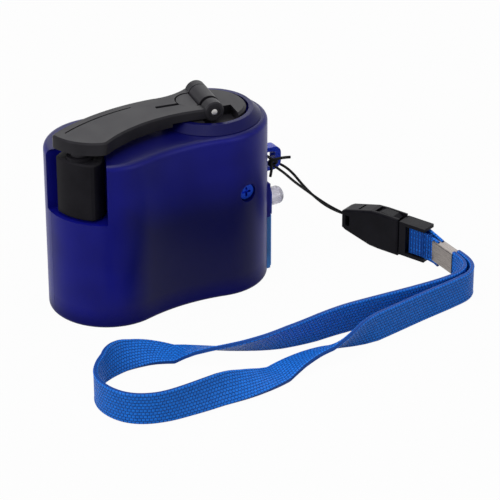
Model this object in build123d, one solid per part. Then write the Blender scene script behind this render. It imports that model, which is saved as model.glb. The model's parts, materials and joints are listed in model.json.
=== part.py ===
from build123d import *
import os
from math import acos, atan2, cos, degrees, hypot, pi, radians, sin, sqrt, tan

# Hand crank phone charger, in millimetres. The housing stands on its flat base at Z = 0.
# X runs from the knob end (-X) to the lamp end (+X), and the front face looks along -Y.

# ---- housing ----
LENGTH = 63.0            # overall length of the figure-of-eight plan
KNOB_LOBE_R = 16.0       # lobe that holds the knob
HUB_LOBE_R = 15.6        # lobe under the crank hub
WAIST_R = 47.6           # hollow curve between the lobes
TOP_Z = 47.2             # flat top of the housing
WALL = 1.8
TOP_ROUND = 1.6
BASE_ROUND = 1.2
SEAM_Y = 0.5             # the halves meet just behind the middle plane
SEAM_GAP = 0.05          # each half stops this far from the seam
KNOB_LOBE_X = -LENGTH / 2 + KNOB_LOBE_R
HUB_X = LENGTH / 2 - HUB_LOBE_R

# ---- raised collar round the hub ----
COLLAR_BASE_R = 13.9
COLLAR_RIM_R = 11.6
COLLAR_BORE_R = 10.6
RIM_Z = 49.5
RECESS_Z = 46.0          # floor inside the collar
RECESS_FLOOR = 1.6

# ---- crank ----
PIN_ANGLE = 80.0         # direction of the hinge pin, from +X
PIN_SHIFT = 1.3          # the pin sits this far from the hub axis, towards the arm
PIN_Z = 51.5
PIN_R = 0.8
PIN_HALF = 8.0
ARM_TOP_Z = 52.4
ARM_LOW_Z = 49.8         # underside where the arm crosses the collar
SKIRT_Z = 48.9           # lower edge of the skirt past the collar
NEAR_EAR_R, FAR_EAR_R = 2.75, 2.9
BARREL_R = 2.9
BARREL_NEAR, BARREL_FAR = -3.7, 4.1
TONGUE_HALF, TONGUE_REACH = 4.1, 7.7
WINDOW_GAP = 0.35
PUCK_R = 9.9
PUCK_LOW_Z = 46.2
PUCK_TOP_Z = 50.2
KNOB_X, KNOB_Y = -25.47, -5.0
KNOB_R = 6.29
KNOB_FACE_R = 14.85      # the knob's outer face follows the lobe, about the lobe's own centre
KNOB_LOW_Z, KNOB_TOP_Z = 30.9, 47.0
KNOB_BORE_R = 1.25
SPINDLE_R = 1.2

# ---- the arm's plan: three arcs, each a centre and a radius, and where it flares to the ears ----
FAR_ARC = (-4.32, -48.92, 56.09)
NEAR_ARC = (-0.20, -44.10, 38.89)
TIP_ARC = (-16.60, 2.13, 13.95)
FLARE_X, FLARE_MID = 2.0, (8.0, 6.5)
NEAR_END_X = 11.0

# ---- knob pocket ----
POCKET_FLOOR_Z = 30.5
POCKET_GAP = 0.45
FINGER_WALL_ANGLE = -116.8   # direction of the pocket's right wall, from +X
POCKET_WALL = 1.6

# ---- gear train: two shafts, each wheel 0.5 module ----
MODULE = 0.5
DRIVE_TEETH, FIRST_PINION = 36, 16
WHEEL_TEETH, SMALL_PINION = 40, 12
SHAFT_PITCH = MODULE * (DRIVE_TEETH + FIRST_PINION) / 2
TRAIN_X = HUB_X - SHAFT_PITCH
LOWER_PLATE_Z = 33.4
UPPER_PLATE_Z = 42.4
PLATE = 1.0
PLATE_HALF = 11.8
SPINDLE_END_Z = 39.4
GEAR_SPINDLE_R = 2.0

# ---- generator and board ----
CAN_R = 11.0
CAN_LOW_Z = 20.4
ROTOR_R = 6.2
BOARD_Z = 16.0
BOARD_T = 1.2

# ---- lamp end ----
PANEL_X = 31.2
PANEL_T = 1.2
PANEL_HALF = 7.3
PANEL_SPLIT_Z = 16.7
PANEL_TOP_Z = 25.4
LAMP_Y, LAMP_Z, LAMP_R = 4.0, 20.2, 2.5
SCREW_X, SCREW_Z = 19.0, 29.5
LOOP_LOW_Z, LOOP_TOP_Z, LOOP_END_X = 26.6, 33.4, 37.6

# ---- buckle, crimp and strap, all lying on the floor ----
BUCKLE_X, BUCKLE_Y, BUCKLE_Z = 59.9, -0.8, 5.7
BUCKLE_ANGLE = -68.7
BUCKLE_HALF = 5.6
BUCKLE_T = 5.4
SOCKET_LEN = 19.0
INSERT_END = 27.6
# one springy prong with its button: along the buckle, and out from its middle
PRONG = [(19.4, 2.3), (12.4, 2.7), (10.6, 3.9), (11.2, 5.0), (12.8, 5.6), (16.6, 5.5), (18.0, 4.7), (17.8, 4.1),
         (16.6, 4.4), (13.4, 4.3), (13.0, 3.7), (19.4, 3.4)]
CRIMP_X, CRIMP_START_Y, CRIMP_END_Y = 70.85, -29.0, -38.2
CRIMP_Z, CRIMP_H, CRIMP_T = 4.7, 6.2, 3.0
STRAP_W, STRAP_T = 8.4, 1.2
STRAP_Z = STRAP_W / 2 + 0.05
CORD_R = 0.5

pin_line = Vector(cos(radians(PIN_ANGLE)), sin(radians(PIN_ANGLE)), 0)
arm_line = Vector(-pin_line.Y, pin_line.X, 0)
pin_centre = Vector(HUB_X, 0, PIN_Z) + arm_line * PIN_SHIFT
parts = {}


# ---------------------------------------------------------------- helpers
def tube(x, y, low, high, radius, bore=0):
    """An upright cylinder, with a bore if one is given."""
    body = Pos(x, y, low) * Cylinder(radius, high - low, align=(Align.CENTER, Align.CENTER, Align.MIN))
    if bore:
        body -= Pos(x, y, low - 1) * Cylinder(bore, high - low + 2, align=(Align.CENTER, Align.CENTER, Align.MIN))
    return body


def block(x0, x1, y0, y1, z0, z1):
    """A box between two corners."""
    return Pos((x0 + x1) / 2, (y0 + y1) / 2, (z0 + z1) / 2) * Box(x1 - x0, y1 - y0, z1 - z0)


def raised(face, low, high):
    """A flat face drawn at Z = 0, made into a solid from low to high."""
    return Pos(0, 0, low) * extrude(face, high - low)


def peanut(inset=0.0):
    """The figure-of-eight plan: two lobes joined by hollow waist arcs."""
    a, b, w = KNOB_LOBE_R - inset, HUB_LOBE_R - inset, WAIST_R + inset
    span = HUB_X - KNOB_LOBE_X
    reach_a, reach_b = a + w, b + w
    along = (reach_a**2 - reach_b**2 + span**2) / (2 * span)
    wx, wy = KNOB_LOBE_X + along, sqrt(reach_a**2 - along**2)
    ax, ay = KNOB_LOBE_X + (wx - KNOB_LOBE_X) * a / reach_a, wy * a / reach_a
    bx, by = HUB_X + (wx - HUB_X) * b / reach_b, wy * b / reach_b
    edges = [
        ThreePointArc((ax, -ay), (KNOB_LOBE_X - a, 0), (ax, ay)),
        ThreePointArc((ax, ay), (wx, wy - w), (bx, by)),
        ThreePointArc((bx, by), (HUB_X + b, 0), (bx, -by)),
        ThreePointArc((bx, -by), (wx, w - wy), (ax, -ay)),
    ]
    return make_face(Curve() + edges)


def gear_face(teeth, turned=0.0, addendum=0.85, dedendum=1.2, slack=0.05):
    """A spur gear outline with involute flanks; a tooth is centred at the angle turned, in degrees."""
    pitch_r = MODULE * teeth / 2
    base_r = pitch_r * cos(radians(20))
    root_r, tip_r = pitch_r - dedendum * MODULE, pitch_r + addendum * MODULE

    def flank(radius):
        """Half the tooth's angle at this radius."""
        def inv(r):
            a = acos(min(1.0, base_r / r))
            return tan(a) - a
        return pi / (2 * teeth) - slack / pitch_r + inv(pitch_r) - inv(max(radius, base_r))

    radii = [root_r, pitch_r, tip_r]
    points = []
    for k in range(teeth):
        mid = radians(turned) + 2 * pi * k / teeth
        side = [(r, flank(r)) for r in radii]
        for r, half in side:
            points.append((r * cos(mid - half), r * sin(mid - half)))
        for r, half in reversed(side):
            points.append((r * cos(mid + half), r * sin(mid + half)))
    return make_face(Polyline(*points, close=True))


def gear(x, teeth, low, high, bore, turned=0.0):
    body = raised(Pos(x, 0) * gear_face(teeth, turned), low, high)
    return body - tube(x, 0, low - 1, high + 1, bore)


def along_pin(start, end, radius):
    """A cylinder on the hinge pin's axis, between two distances from its middle."""
    plane = Plane(origin=pin_centre + pin_line * start, z_dir=pin_line)
    return plane * Cylinder(radius, end - start, align=(Align.CENTER, Align.CENTER, Align.MIN))


# ---------------------------------------------------------------- housing
def pocket_face(grow=0.0):
    """Plan of the knob's pocket: round the knob, open outwards for the swing and to the front for a finger."""
    radius = KNOB_R + POCKET_GAP + grow
    centre = Vector(KNOB_X, KNOB_Y)
    swing = Pos(KNOB_X, KNOB_Y) * Rot(0, 0, degrees(atan2(arm_line.Y, arm_line.X))) \
        * (Pos(12, 0) * Rectangle(24, 2 * radius))
    run = Vector(cos(radians(FINGER_WALL_ANGLE)), sin(radians(FINGER_WALL_ANGLE)))
    touch = centre + Vector(-run.Y, run.X) * radius
    start, end = touch - run * 2.5, touch + run * 14
    finger = make_face(Polyline((centre.X, centre.Y), (start.X, start.Y), (end.X, end.Y),
                                (-46, end.Y), (-46, 0), close=True))
    return Pos(centre.X, centre.Y) * Circle(radius) + swing + finger


def housing():
    outer = raised(peanut(), 0, TOP_Z)
    outer = fillet(outer.edges().group_by(Axis.Z)[-1], TOP_ROUND)
    outer = fillet(outer.edges().group_by(Axis.Z)[0], BASE_ROUND)
    collar = make_face(Polyline((0, TOP_Z - 1), (COLLAR_BASE_R, TOP_Z - 1), (COLLAR_BASE_R, TOP_Z + 0.2),
                                (COLLAR_RIM_R + 0.25, RIM_Z - 0.05), (COLLAR_RIM_R, RIM_Z), (0, RIM_Z), close=True))
    outer += Pos(HUB_X, 0, 0) * revolve(Plane.XZ * collar, Axis.Z)

    cavity = raised(peanut(WALL), WALL, TOP_Z - WALL)
    cavity -= tube(HUB_X, 0, RECESS_Z - RECESS_FLOOR, TOP_Z, COLLAR_BORE_R + RECESS_FLOOR)
    cavity -= raised(pocket_face(POCKET_WALL), POCKET_FLOOR_Z - POCKET_WALL, TOP_Z)
    shell = outer - cavity
    shell -= raised(pocket_face(), POCKET_FLOOR_Z, TOP_Z + 5)
    shell -= tube(HUB_X, 0, RECESS_Z, RIM_Z + 1, COLLAR_BORE_R)
    shell -= tube(HUB_X, 0, RECESS_Z - RECESS_FLOOR - 1, RECESS_Z + 1, GEAR_SPINDLE_R + 1.2)

    # flat seat and openings for the two end panels
    seat_x = PANEL_X - PANEL_T
    frame = block(26.0, seat_x, -PANEL_HALF - 1.2, PANEL_HALF + 1.2, 1.0, PANEL_TOP_Z + 1.2)
    frame -= raised(peanut(WALL), -1, BOARD_Z + 30)
    shell += frame + block(28.0, seat_x, -PANEL_HALF, PANEL_HALF, 1.0, PANEL_TOP_Z + 1.0)
    shell -= block(seat_x, PANEL_X + 2, -PANEL_HALF - 0.05, PANEL_HALF + 0.05, 0.8, PANEL_TOP_Z + 0.05)
    shell -= block(26.0, PANEL_X, -3.05, 3.05, 2.2, 15.2)
    for side in (-1, 1):
        shell -= Pos(28.0, side * LAMP_Y, LAMP_Z) * Rot(0, 90, 0) * Cylinder(LAMP_R + 0.45, 8)

    # shelves that the lower gear plate and the board rest on
    def shelf(x0, x1, top, reach):
        ring = peanut(WALL - 0.4) - peanut(WALL + reach)
        return raised(ring, top - 1.2, top) & block(x0, x1, -20, 20, 0, 50)

    shell += shelf(-6.0, 14.0, LOWER_PLATE_Z, 0.9)
    shell += shelf(-14.0, 14.0, BOARD_Z, 2.2)

    # screw boss through both halves
    boss = Pos(SCREW_X, 0, SCREW_Z) * Rot(90, 0, 0)
    shell += (boss * Cylinder(3.3, 40)) & raised(peanut(0.6), 0, TOP_Z)
    shell -= Pos(SCREW_X, -21.0, SCREW_Z) * Rot(90, 0, 0) * Cylinder(2.5, 17.0)
    shell -= Pos(SCREW_X, 0, SCREW_Z) * Rot(90, 0, 0) * Cylinder(1.2, 26.0)
    # socket for the lanyard loop's root
    shell -= block(29.6, 33, -1.5, 1.5, LOOP_LOW_Z, LOOP_TOP_Z)
    return shell


shell = housing()
front_half = block(-60, 60, -60, SEAM_Y - SEAM_GAP, -10, 80)
rear_half = block(-60, 60, SEAM_Y + SEAM_GAP, 60, -10, 80)
parts["front_shell"] = shell & front_half
parts["rear_shell"] = shell & rear_half


def make_lamp_end():
    seat_x = PANEL_X - PANEL_T
    upper = block(seat_x, PANEL_X, -PANEL_HALF, PANEL_HALF, PANEL_SPLIT_Z + 0.05, PANEL_TOP_Z)
    upper = fillet(upper.edges().filter_by(Axis.X).group_by(Axis.Z)[-1], 3.0)
    for side in (-1, 1):
        upper -= Pos(seat_x, side * LAMP_Y, LAMP_Z) * Rot(0, 90, 0) * Cylinder(LAMP_R + 0.1, 6)
    lower = block(seat_x, PANEL_X, -PANEL_HALF, PANEL_HALF, 0.9, PANEL_SPLIT_Z - 0.05)
    lower = chamfer(lower.faces().sort_by(Axis.X)[-1].edges(), 0.3)
    lower -= block(seat_x - 1, PANEL_X + 1, -2.9, 2.9, 2.35, 15.05)
    parts["lamp_panel"] = upper
    parts["socket_panel"] = lower

    # 5 mm lamps: flange, barrel and a stepped dome, lying along X
    r = LAMP_R
    lamp = revolve(Plane.XZ * make_face(Polyline(
        (0, 0), (r + 0.35, 0), (r + 0.35, 1.0), (r, 1.0), (r, 8.0), (0.87 * r, 9.25), (0.5 * r, 10.17), (0, 10.5),
        close=True)), Axis.Z)
    parts["lamps"] = Compound([Pos(25.6, side * LAMP_Y, LAMP_Z) * Rot(0, 90, 0) * lamp for side in (-1, 1)])

    # upright output socket: folded steel shell round a plastic tongue
    jacket = block(17.4, PANEL_X - 0.2, -2.85, 2.85, 2.4, 15.0)
    jacket = fillet(jacket.edges().filter_by(Axis.X), 0.5)
    parts["socket_jacket"] = jacket - block(18.6, PANEL_X + 1, -2.4, 2.4, 2.85, 14.55)
    tongue = block(18.6, 29.6, 0.1, 2.0, 3.4, 14.0)
    parts["socket_tongue"] = tongue + block(18.6, 20.4, -2.4, 2.4, 2.85, 14.55)


def make_loop():
    """Moulded eyelet for the lanyard, let into the shells at its root."""
    plate = block(29.6, LOOP_END_X, -1.5, 1.5, LOOP_LOW_Z, LOOP_TOP_Z)
    plate = fillet(plate.edges().filter_by(Axis.Y).group_by(Axis.X)[-1], 2.2)
    window = block(32.1, LOOP_END_X - 1.8, -5, 5, LOOP_LOW_Z + 1.2, LOOP_TOP_Z - 1.2)
    window = fillet(window.edges().filter_by(Axis.Y), 1.0)
    parts["lanyard_loop"] = plate - window


def make_screw():
    stand = (Align.CENTER, Align.CENTER, Align.MIN)
    head = Pos(SCREW_X, -12.5, SCREW_Z) * Rot(90, 0, 0) * Cylinder(2.2, 1.6, align=stand)
    head -= Pos(SCREW_X, -14.1, SCREW_Z) * Box(2.6, 1.4, 0.6)
    head -= Pos(SCREW_X, -14.1, SCREW_Z) * Box(0.6, 1.4, 2.6)
    shank = Pos(SCREW_X, -12.5, SCREW_Z) * Rot(-90, 0, 0) * Cylinder(1.1, 24, align=stand)
    parts["shell_screw"] = head + shank


make_lamp_end()
make_loop()
make_screw()


# ---------------------------------------------------------------- crank
def on_arc(arc, x, grow=0.0):
    """The upper point of an arc at this x, with the arc's radius grown."""
    return (x, arc[1] + sqrt((arc[2] + grow)**2 - (x - arc[0])**2))


def arc_corner(arc, grow, tip_grow, upper):
    """Where an edge arc of the arm meets the arc of its tip."""
    dx, dy = TIP_ARC[0] - arc[0], TIP_ARC[1] - arc[1]
    span, big, small = hypot(dx, dy), arc[2] + grow, TIP_ARC[2] + tip_grow
    along = (big**2 - small**2 + span**2) / (2 * span)
    rise = sqrt(big**2 - along**2)
    ux, uy = dx / span, dy / span
    spots = [(arc[0] + ux * along - side * uy * rise, arc[1] + uy * along + side * ux * rise) for side in (-1, 1)]
    spots = [spot for spot in spots if spot[0] < -18]
    return max(spots, key=lambda spot: spot[1]) if upper else min(spots, key=lambda spot: spot[1])


def arm_face(shrink=0.0):
    """Plan of the curved arm, from the hinge pin's line to the tip."""
    far_end = Vector(pin_centre.X, pin_centre.Y) + pin_line * PIN_HALF
    near_end = Vector(pin_centre.X, pin_centre.Y) - pin_line * PIN_HALF
    flare_end = far_end + arm_line * 2.2 - pin_line * shrink
    far_corner = arc_corner(FAR_ARC, -shrink, -shrink, True)
    near_corner = arc_corner(NEAR_ARC, shrink, -shrink, False)
    tip_x = TIP_ARC[0] - (TIP_ARC[2] - shrink) * cos(radians(30))
    tip_y = TIP_ARC[1] - (TIP_ARC[2] - shrink) * sin(radians(30))
    flare_start = on_arc(FAR_ARC, FLARE_X, -shrink)
    near_start = on_arc(NEAR_ARC, NEAR_END_X, shrink)
    edges = [
        ThreePointArc(far_corner, on_arc(FAR_ARC, -14, -shrink), flare_start),
        ThreePointArc(flare_start, (FLARE_MID[0], FLARE_MID[1] - shrink), (flare_end.X, flare_end.Y)),
        Line((flare_end.X, flare_end.Y), (far_end.X, far_end.Y)),
        Line((far_end.X, far_end.Y), (near_end.X, near_end.Y)),
        Line((near_end.X, near_end.Y), near_start),
        ThreePointArc(near_start, on_arc(NEAR_ARC, -5, shrink), near_corner),
        ThreePointArc(near_corner, (tip_x, tip_y), far_corner),
    ]
    face = make_face(Curve() + edges)
    corners = face.vertices().sort_by_distance((*far_corner, 0))[:1]
    face = fillet(corners, 1.2)
    corners = face.vertices().sort_by_distance((*near_corner, 0))[:1]
    return fillet(corners, 1.8)


def tongue_face(half, reach, back=0.0):
    """Round-ended tab along the arm's direction from the hinge pin."""
    heading = degrees(atan2(arm_line.Y, arm_line.X))
    length = reach - half + back
    tab = Pos(length / 2 - back, 0) * Rectangle(length, 2 * half) + Pos(reach - half, 0) * Circle(half)
    return Pos(pin_centre.X, pin_centre.Y) * Rot(0, 0, heading) * tab


def hinge_block(a0, a1, p0, p1, z0, z1):
    """A box in the hinge's own directions: along the arm, along the pin, and up."""
    plane = Plane(origin=(pin_centre.X, pin_centre.Y, 0), x_dir=arm_line, z_dir=(0, 0, 1))
    return plane * block(a0, a1, -p1, -p0, z0, z1)


def make_arm():
    shoulder = ARM_TOP_Z - 0.45
    plate = raised(arm_face(), ARM_LOW_Z, shoulder)
    plate += loft([Pos(0, 0, shoulder) * arm_face(), Pos(0, 0, ARM_TOP_Z) * arm_face(0.45)], ruled=True)
    skirt = raised(arm_face() - arm_face(1.4), SKIRT_Z, ARM_LOW_Z)
    skirt -= tube(HUB_X, 0, SKIRT_Z - 1, ARM_LOW_Z + 1, COLLAR_BASE_R + 1.0)
    rib = raised(Pos(-10, -1) * Rot(0, 0, 14) * Rectangle(13, 1.2), SKIRT_Z + 0.2, ARM_LOW_Z + 0.2)
    arm = plate + skirt + rib
    near_ear = chamfer(along_pin(-PIN_HALF, -TONGUE_HALF - 0.3, NEAR_EAR_R).edges(), 0.35)
    far_ear = along_pin(TONGUE_HALF + 0.3, PIN_HALF, FAR_EAR_R)
    far_rim = far_ear.edges().sort_by(Axis(pin_centre, pin_line))[-1:]
    arm += near_ear + chamfer(far_rim, 1.0, 1.3)
    arm -= raised(tongue_face(TONGUE_HALF + 0.3, TONGUE_REACH + WINDOW_GAP, 5), SKIRT_Z, PIN_Z + 5)
    arm -= along_pin(-PIN_HALF - 1, PIN_HALF + 1, PIN_R)
    arm -= along_pin(-PIN_HALF - 1, -PIN_HALF + 0.3, 1.7)
    # narrow slot beyond the window, and the line of the sunk panel along the top
    arm -= hinge_block(TONGUE_REACH, 14.1, -2.2, -1.0, ARM_TOP_Z - 1.6, ARM_TOP_Z + 1)
    line = Pos(FAR_ARC[0], FAR_ARC[1]) * (Circle(FAR_ARC[2] - 2.35) - Circle(FAR_ARC[2] - 2.8))
    arm -= raised(line, ARM_TOP_Z - 0.3, ARM_TOP_Z + 1) & block(-27.1, -5.1, -5, 8, ARM_LOW_Z, ARM_TOP_Z + 2)
    # boss that carries the knob's spindle
    arm += tube(KNOB_X, KNOB_Y, KNOB_TOP_Z + 1.0, ARM_LOW_Z + 0.1, 2.4)
    arm -= tube(KNOB_X, KNOB_Y, KNOB_TOP_Z, ARM_LOW_Z + 1.2, SPINDLE_R)
    parts["crank_arm"] = arm
    parts["hinge_pin"] = along_pin(-PIN_HALF + 0.1, PIN_HALF - 0.2, PIN_R)
    spindle = tube(KNOB_X, KNOB_Y, KNOB_LOW_Z + 1.0, ARM_LOW_Z + 1.2, SPINDLE_R)
    spindle += tube(KNOB_X, KNOB_Y, KNOB_LOW_Z + 0.4, KNOB_LOW_Z + 1.2, 2.2)
    parts["knob_spindle"] = spindle


def make_knob():
    plan = (Pos(KNOB_X, KNOB_Y) * Circle(KNOB_R)) & (Pos(KNOB_LOBE_X, 0) * Circle(KNOB_FACE_R))
    knob = raised(plan, KNOB_LOW_Z, KNOB_TOP_Z)
    knob = chamfer(knob.edges().filter_by(Axis.Z), 0.5)
    knob = chamfer(knob.edges().group_by(Axis.Z)[0] + knob.edges().group_by(Axis.Z)[-1], 0.45)
    knob += tube(KNOB_X, KNOB_Y, KNOB_TOP_Z - 0.5, KNOB_TOP_Z + 0.8, 3.4)
    knob -= tube(KNOB_X, KNOB_Y, KNOB_LOW_Z - 1, KNOB_TOP_Z + 2, KNOB_BORE_R)
    knob -= tube(KNOB_X, KNOB_Y, KNOB_LOW_Z - 1, KNOB_LOW_Z + 1.3, 2.3)
    parts["knob"] = knob


def make_hub():
    puck = tube(HUB_X, 0, PUCK_LOW_Z, PUCK_TOP_Z, PUCK_R)
    puck = chamfer(puck.edges().group_by(Axis.Z)[-1], 0.6)
    # the side under the arm is cut down, so that only the tongue stands up in the arm's window
    heading = degrees(atan2(arm_line.Y, arm_line.X))
    cut = Pos(pin_centre.X, pin_centre.Y) * Rot(0, 0, heading) * (Pos(8.5, 0) * Rectangle(23, 30))
    puck -= raised(cut, ARM_LOW_Z - 0.5, PIN_Z + 5)
    # notch in front of the hinge, round the near ear
    puck -= hinge_block(-6.6, 3.0, -12, -2.4, PUCK_LOW_Z + 1.4, PIN_Z + 5)
    barrel = along_pin(BARREL_NEAR, BARREL_FAR, BARREL_R)
    foot = hinge_block(-2.6, 2.6, BARREL_NEAR, BARREL_FAR, PUCK_LOW_Z + 1, PIN_Z)
    tab = raised(tongue_face(TONGUE_HALF, TONGUE_REACH), PUCK_LOW_Z + 1, ARM_TOP_Z - 0.15)
    tab &= tube(HUB_X, 0, 40, 60, COLLAR_BORE_R - 0.2)
    tab -= hinge_block(2.6, 3.1, -6, 6, ARM_TOP_Z - 0.9, PIN_Z + 5)
    hub = puck + barrel + foot + tab
    hub -= hinge_block(-3.2, 3.4, -TONGUE_HALF - 1, BARREL_NEAR, PIN_Z - 3.2, PIN_Z + 5)
    hub -= along_pin(-PIN_HALF - 0.6, BARREL_NEAR, NEAR_EAR_R + 0.3)
    hub -= along_pin(BARREL_FAR, PIN_HALF + 0.6, FAR_EAR_R + 0.3)
    hub -= along_pin(-PIN_HALF - 2, PIN_HALF + 2, PIN_R + 0.05)
    hub -= tube(HUB_X, 0, PUCK_LOW_Z - 1, PUCK_LOW_Z + 2.4, GEAR_SPINDLE_R)
    parts["crank_hub"] = hub
    parts["crank_spindle"] = tube(HUB_X, 0, SPINDLE_END_Z, PUCK_LOW_Z + 2.4, GEAR_SPINDLE_R)


make_arm()
make_knob()
make_hub()


# ---------------------------------------------------------------- gear train
def make_gears():
    parts["drive_gear"] = gear(HUB_X, DRIVE_TEETH, 39.5, 41.5, GEAR_SPINDLE_R)
    pitch_16, pitch_40, pitch_12 = 180 / FIRST_PINION, 180 / WHEEL_TEETH, 180 / SMALL_PINION
    axle_bore = 1.05
    first = gear(TRAIN_X, WHEEL_TEETH, 37.2, 38.8, axle_bore, pitch_40)
    first += gear(TRAIN_X, FIRST_PINION, 38.8, 41.7, axle_bore, pitch_16)
    parts["first_idler"] = first
    second = gear(HUB_X, WHEEL_TEETH, 34.9, 36.5, axle_bore)
    second += gear(HUB_X, SMALL_PINION, 36.5, 39.0, axle_bore)
    parts["second_idler"] = second
    parts["rotor_pinion"] = gear(TRAIN_X, SMALL_PINION, 34.7, 36.7, 1.0, pitch_12)


def make_plates():
    middle = (HUB_X + TRAIN_X) / 2
    outline = Pos(middle, 0) * SlotCenterToCenter(SHAFT_PITCH, 2 * PLATE_HALF)
    posts = [(middle, 10.2), (middle, -10.2), (TRAIN_X - 12.3, 0)]
    outline += Pos(TRAIN_X - 11, 0) * SlotCenterToCenter(2.6, 5.2)
    lower = raised(outline, LOWER_PLATE_Z, LOWER_PLATE_Z + PLATE)
    upper = raised(outline, UPPER_PLATE_Z, UPPER_PLATE_Z + PLATE)
    for x, y in posts:
        lower -= tube(x, y, LOWER_PLATE_Z - 1, LOWER_PLATE_Z + 2, 0.8)
        upper -= tube(x, y, UPPER_PLATE_Z - 1, UPPER_PLATE_Z + 2, 0.8)
    lower -= tube(TRAIN_X, 0, LOWER_PLATE_Z - 1, LOWER_PLATE_Z + 2, 2.0)
    lower -= tube(HUB_X, 0, LOWER_PLATE_Z - 1, LOWER_PLATE_Z + 2, 1.0)
    upper -= tube(TRAIN_X, 0, UPPER_PLATE_Z - 1, UPPER_PLATE_Z + 2, 1.0)
    upper -= tube(HUB_X, 0, UPPER_PLATE_Z - 1, UPPER_PLATE_Z + 2, 3.0)
    parts["lower_gear_plate"] = lower
    parts["upper_gear_plate"] = upper
    pillars = [tube(x, y, LOWER_PLATE_Z + PLATE, UPPER_PLATE_Z, 1.3)
               + tube(x, y, LOWER_PLATE_Z, UPPER_PLATE_Z + PLATE, 0.8) for x, y in posts]
    parts["plate_pillars"] = Compound(pillars)
    parts["spindle_bush"] = tube(HUB_X, 0, UPPER_PLATE_Z, UPPER_PLATE_Z + PLATE, 3.0, GEAR_SPINDLE_R + 0.05) \
        + tube(HUB_X, 0, UPPER_PLATE_Z - 0.7, UPPER_PLATE_Z, 3.6, GEAR_SPINDLE_R + 0.05)
    first_axle = tube(TRAIN_X, 0, 37.0, UPPER_PLATE_Z + PLATE, 1.0)
    second_axle = tube(HUB_X, 0, LOWER_PLATE_Z, 39.2, 1.0)
    parts["idler_axles"] = Compound([first_axle, second_axle])


def make_generator():
    can = tube(TRAIN_X, 0, CAN_LOW_Z, LOWER_PLATE_Z, CAN_R)
    can -= tube(TRAIN_X, 0, CAN_LOW_Z + 0.8, LOWER_PLATE_Z + 1, CAN_R - 0.6)
    can -= tube(TRAIN_X, 0, CAN_LOW_Z - 1, CAN_LOW_Z + 2, 1.8)
    parts["generator_can"] = can
    # stator: outer ring with six poles, and a coil on each pole
    core_low, core_high, poles = 24.4, 29.4, 6
    ring = Circle(CAN_R - 0.6) - Circle(CAN_R - 1.9)
    shoe = Circle(ROTOR_R + 1.1) - Circle(ROTOR_R + 0.4)
    coils = []
    for k in range(poles):
        turn = Rot(0, 0, 360 / poles * k)
        ring += turn * (Pos(CAN_R - 2.6, 0) * Rectangle(2.4, 1.6))
        ring += shoe & turn * (Pos(ROTOR_R + 1, 0) * Rectangle(3, 5.0))
        coil = Pos(TRAIN_X, 0, 0) * turn * (Pos(8.2, 0, (core_low + core_high) / 2)
                                            * (Box(1.4, 3.6, 7.0) - Box(3, 1.6, core_high - core_low)))
        coils.append(coil)
    parts["stator_core"] = raised(Pos(TRAIN_X, 0) * ring, core_low, core_high)
    parts["stator_coils"] = Compound(coils)
    parts["rotor_magnet"] = tube(TRAIN_X, 0, 22.6, 31.2, ROTOR_R, 1.0)
    parts["rotor_shaft"] = tube(TRAIN_X, 0, CAN_LOW_Z + 0.2, 36.7, 1.0)
    low_bush = tube(TRAIN_X, 0, CAN_LOW_Z, CAN_LOW_Z + 1.6, 1.8, 1.05)
    high_bush = tube(TRAIN_X, 0, LOWER_PLATE_Z - 0.8, LOWER_PLATE_Z + PLATE, 2.0, 1.05)
    parts["rotor_bushes"] = Compound([low_bush, high_bush])


def make_board():
    board = block(-13.0, 16.0, -11.0, 11.0, BOARD_Z, BOARD_Z + BOARD_T)
    board += block(-21.0, -13.0, -9.0, 9.0, BOARD_Z, BOARD_Z + BOARD_T)
    board = fillet(board.edges().filter_by(Axis.Z).group_by(Axis.X)[0], 2.0)
    parts["circuit_board"] = board
    cans = []
    for side in (-1, 1):
        can = tube(-14.6, side * 5.1, 3.6, BOARD_Z, 4.8)
        cans.append(chamfer(can.edges().group_by(Axis.Z)[0], 0.5))
    parts["storage_capacitors"] = Compound(cans)
    diodes = [Pos(-1.0 + 3.4 * k, 0, BOARD_Z - 1.2) * Rot(90, 0, 0) * Cylinder(1.2, 4.6) for k in range(4)]
    parts["rectifier_diodes"] = Compound(diodes)


make_gears()
make_plates()
make_generator()
make_board()


# ---------------------------------------------------------------- lanyard, buckle and strap
buckle_line = Vector(cos(radians(BUCKLE_ANGLE)), sin(radians(BUCKLE_ANGLE)), 0)
buckle = Plane(origin=(BUCKLE_X, BUCKLE_Y, BUCKLE_Z), x_dir=buckle_line, z_dir=(0, 0, 1))


def buckle_block(s0, s1, t0, t1, z0, z1):
    """A box in the buckle's own directions: along it, across its thickness, and up."""
    return buckle * block(s0, s1, t0, t1, z0, z1)


def side_profile(points, thickness):
    """An outline in the buckle's upright plane, given a thickness to both sides."""
    plane = Plane(origin=buckle.origin, x_dir=buckle.x_dir, z_dir=-buckle.y_dir)
    return extrude(plane * make_face(Polyline(*points, close=True)), thickness / 2, both=True)


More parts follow.
